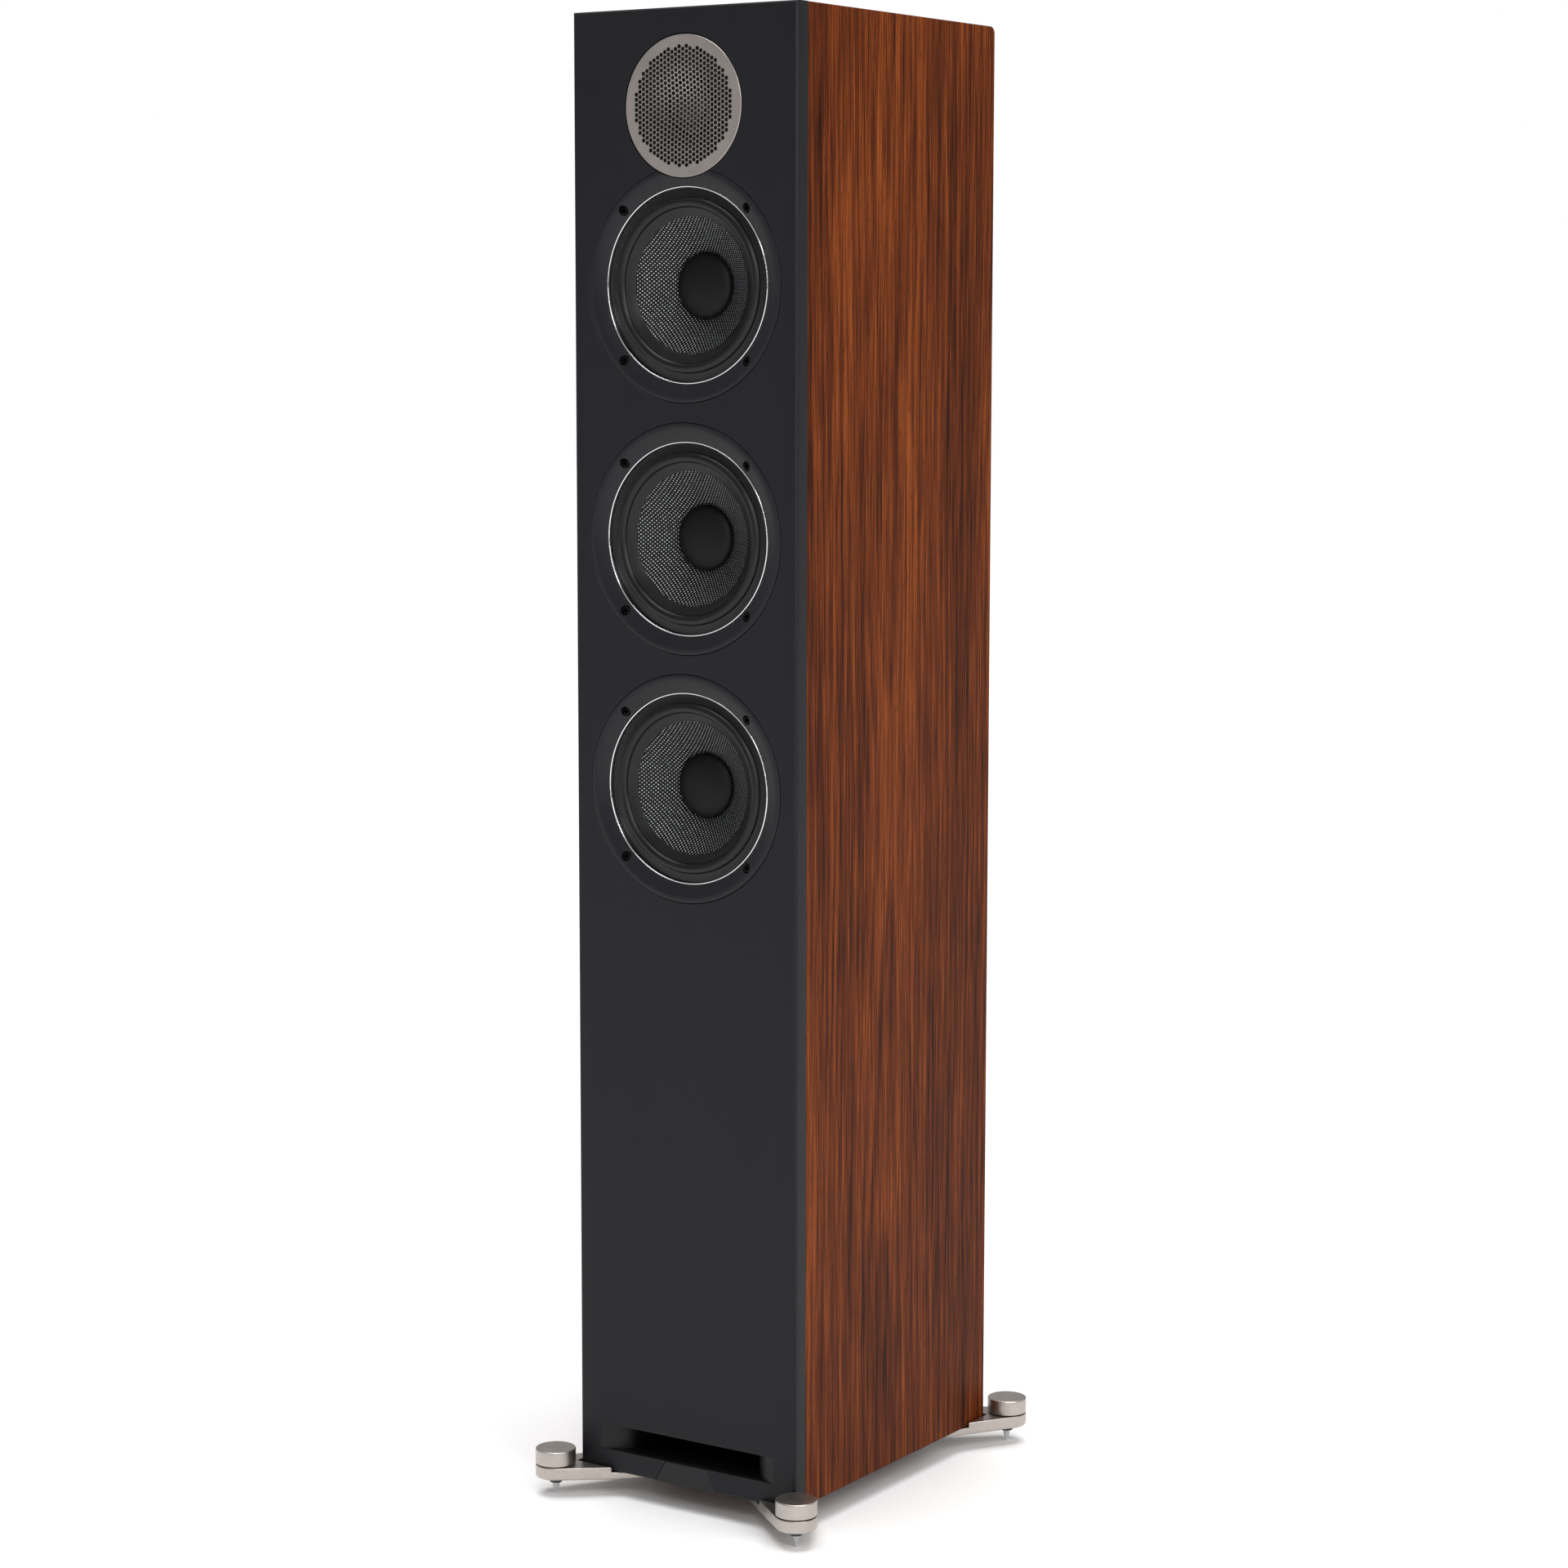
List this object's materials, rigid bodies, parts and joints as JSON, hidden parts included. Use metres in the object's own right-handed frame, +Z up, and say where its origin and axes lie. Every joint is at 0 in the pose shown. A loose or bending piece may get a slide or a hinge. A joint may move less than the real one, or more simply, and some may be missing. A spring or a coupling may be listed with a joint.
{
  "type": "floorstanding loudspeaker",
  "caption": "Slim walnut tower loudspeaker with a charcoal baffle, woven-cone woofers, a tweeter behind a perforated disc, a flared reflex slot and outrigger feet with height knobs.",
  "frame": {"origin": "on the floor, under the middle of the cabinet", "axes": "+Z up, the front baffle faces -Y, +X is to the right of someone who looks at the front"},
  "size_m": [0.2298, 0.3082, 1.018],
  "materials": {
    "walnut": "satin walnut-grain vinyl on fibreboard",
    "black_vinyl": "black textured vinyl on fibreboard",
    "baffle": "satin charcoal foil on fibreboard",
    "board": "bare fibreboard",
    "badge": "satin charcoal",
    "port": "matt black moulded plastic",
    "trim": "satin charcoal",
    "basket": "black enamel on pressed steel",
    "motor": "zinc-plated steel plates and black ferrite",
    "spider": "resin-dipped corrugated cloth",
    "surround": "black rubber",
    "cone": "coated glass-fibre weave",
    "dust_cap": "matt black",
    "nickel": "satin nickel plate",
    "dome": "coated textile",
    "chrome": "polished chrome",
    "washer": "black nylon",
    "brass": "gold-plated brass",
    "cap_plastic": "gloss black with ribs",
    "circuit": "printed circuit board with parts"
  },
  "bodies": {
    "cabinet": {"side_panel_left": "walnut", "side_panel_right": "walnut", "top_panel": "walnut", "bottom_panel": "walnut", "back_panel": "black_vinyl", "front_baffle": "baffle", "badge_plate": "badge", "brace_upper": "board", "brace_lower": "board", "port_duct": "port", "woofer_upper_trim_ring": "trim", "woofer_upper_basket": "basket", "woofer_upper_motor": "motor", "woofer_upper_spider": "spider", "woofer_upper_surround": "surround", "woofer_middle_trim_ring": "trim", "woofer_middle_basket": "basket", "woofer_middle_motor": "motor", "woofer_middle_spider": "spider", "woofer_middle_surround": "surround", "woofer_lower_trim_ring": "trim", "woofer_lower_basket": "basket", "woofer_lower_motor": "motor", "woofer_lower_spider": "spider", "woofer_lower_surround": "surround", "tweeter_grille": "nickel", "tweeter_faceplate": "port", "tweeter_surround": "dome", "tweeter_motor": "motor", "foot_front_left_arm": "nickel", "foot_front_right_arm": "nickel", "foot_rear_left_arm": "nickel", "foot_rear_right_arm": "nickel", "terminal_cup": "port", "binding_post_left": "brass", "binding_post_right": "brass", "crossover_board": "circuit"},
    "woofer_upper_moving": {"woofer_upper_cone": "cone", "woofer_upper_dust_cap": "dust_cap"},
    "woofer_middle_moving": {"woofer_middle_cone": "cone", "woofer_middle_dust_cap": "dust_cap"},
    "woofer_lower_moving": {"woofer_lower_cone": "cone", "woofer_lower_dust_cap": "dust_cap"},
    "tweeter_moving": {"tweeter_dome": "dome"},
    "foot_front_left_lift": {"foot_front_left_washer": "washer"},
    "foot_front_left_screw": {"foot_front_left_knob": "nickel", "foot_front_left_spike": "chrome"},
    "foot_front_right_lift": {"foot_front_right_washer": "washer"},
    "foot_front_right_screw": {"foot_front_right_knob": "nickel", "foot_front_right_spike": "chrome"},
    "foot_rear_left_lift": {"foot_rear_left_washer": "washer"},
    "foot_rear_left_screw": {"foot_rear_left_knob": "nickel", "foot_rear_left_spike": "chrome"},
    "foot_rear_right_lift": {"foot_rear_right_washer": "washer"},
    "foot_rear_right_screw": {"foot_rear_right_knob": "nickel", "foot_rear_right_spike": "chrome"},
    "terminal_left_lift": {"post_washer_left": "brass"},
    "terminal_left_screw": {"post_cap_left": "cap_plastic"},
    "terminal_right_lift": {"post_washer_right": "brass"},
    "terminal_right_screw": {"post_cap_right": "cap_plastic"}
  },
  "joints": [
    {"name": "woofer_upper_travel", "type": "slide", "parent": "cabinet", "child": "woofer_upper_moving", "axis": [0, -1, 0], "range_m": [-0.005, 0.005], "stiffness_N_per_m": 1000, "deforming": ["woofer_upper_surround", "woofer_upper_spider"]},
    {"name": "woofer_middle_travel", "type": "slide", "parent": "cabinet", "child": "woofer_middle_moving", "axis": [0, -1, 0], "range_m": [-0.005, 0.005], "stiffness_N_per_m": 1000, "deforming": ["woofer_middle_surround", "woofer_middle_spider"]},
    {"name": "woofer_lower_travel", "type": "slide", "parent": "cabinet", "child": "woofer_lower_moving", "axis": [0, -1, 0], "range_m": [-0.005, 0.005], "stiffness_N_per_m": 1000, "deforming": ["woofer_lower_surround", "woofer_lower_spider"]},
    {"name": "tweeter_travel", "type": "slide", "parent": "cabinet", "child": "tweeter_moving", "axis": [0, -1, 0], "range_m": [-0.0005, 0.0005], "stiffness_N_per_m": 20, "deforming": ["tweeter_surround"]},
    {"name": "foot_front_left_height", "type": "slide", "parent": "cabinet", "child": "foot_front_left_lift", "axis": [0, 0, 1], "range_m": [0, 0.006]},
    {"name": "foot_front_left_turn", "type": "hinge", "parent": "foot_front_left_lift", "child": "foot_front_left_screw", "pos_m": [-0.1008, -0.14, 0.018], "axis": [0, 0, 1], "range_deg": [0, 2161]},
    {"name": "foot_front_right_height", "type": "slide", "parent": "cabinet", "child": "foot_front_right_lift", "axis": [0, 0, 1], "range_m": [0, 0.006]},
    {"name": "foot_front_right_turn", "type": "hinge", "parent": "foot_front_right_lift", "child": "foot_front_right_screw", "pos_m": [0.1008, -0.14, 0.018], "axis": [0, 0, 1], "range_deg": [0, 2161]},
    {"name": "foot_rear_left_height", "type": "slide", "parent": "cabinet", "child": "foot_rear_left_lift", "axis": [0, 0, 1], "range_m": [0, 0.006]},
    {"name": "foot_rear_left_turn", "type": "hinge", "parent": "foot_rear_left_lift", "child": "foot_rear_left_screw", "pos_m": [-0.1008, 0.14, 0.018], "axis": [0, 0, 1], "range_deg": [0, 2161]},
    {"name": "foot_rear_right_height", "type": "slide", "parent": "cabinet", "child": "foot_rear_right_lift", "axis": [0, 0, 1], "range_m": [0, 0.006]},
    {"name": "foot_rear_right_turn", "type": "hinge", "parent": "foot_rear_right_lift", "child": "foot_rear_right_screw", "pos_m": [0.1008, 0.14, 0.018], "axis": [0, 0, 1], "range_deg": [0, 2161]},
    {"name": "terminal_left_clamp", "type": "slide", "parent": "cabinet", "child": "terminal_left_lift", "axis": [0, 1, 0], "range_m": [0, 0.006]},
    {"name": "terminal_left_turn", "type": "hinge", "parent": "terminal_left_lift", "child": "terminal_left_screw", "pos_m": [-0.0095, 0.1075, 0.248], "axis": [0, 1, 0], "range_deg": [0, 2161]},
    {"name": "terminal_right_clamp", "type": "slide", "parent": "cabinet", "child": "terminal_right_lift", "axis": [0, 1, 0], "range_m": [0, 0.006]},
    {"name": "terminal_right_turn", "type": "hinge", "parent": "terminal_right_lift", "child": "terminal_right_screw", "pos_m": [0.0095, 0.1075, 0.248], "axis": [0, 1, 0], "range_deg": [0, 2161]}
  ],
  "couplings": [
    {"joint": "foot_front_left_turn", "follows": "foot_front_left_height", "rad_per_m": 6283.2},
    {"joint": "foot_front_right_turn", "follows": "foot_front_right_height", "rad_per_m": 6283.2},
    {"joint": "foot_rear_left_turn", "follows": "foot_rear_left_height", "rad_per_m": 6283.2},
    {"joint": "foot_rear_right_turn", "follows": "foot_rear_right_height", "rad_per_m": 6283.2},
    {"joint": "terminal_left_turn", "follows": "terminal_left_clamp", "rad_per_m": 6283.2},
    {"joint": "terminal_right_turn", "follows": "terminal_right_clamp", "rad_per_m": 6283.2}
  ]
}
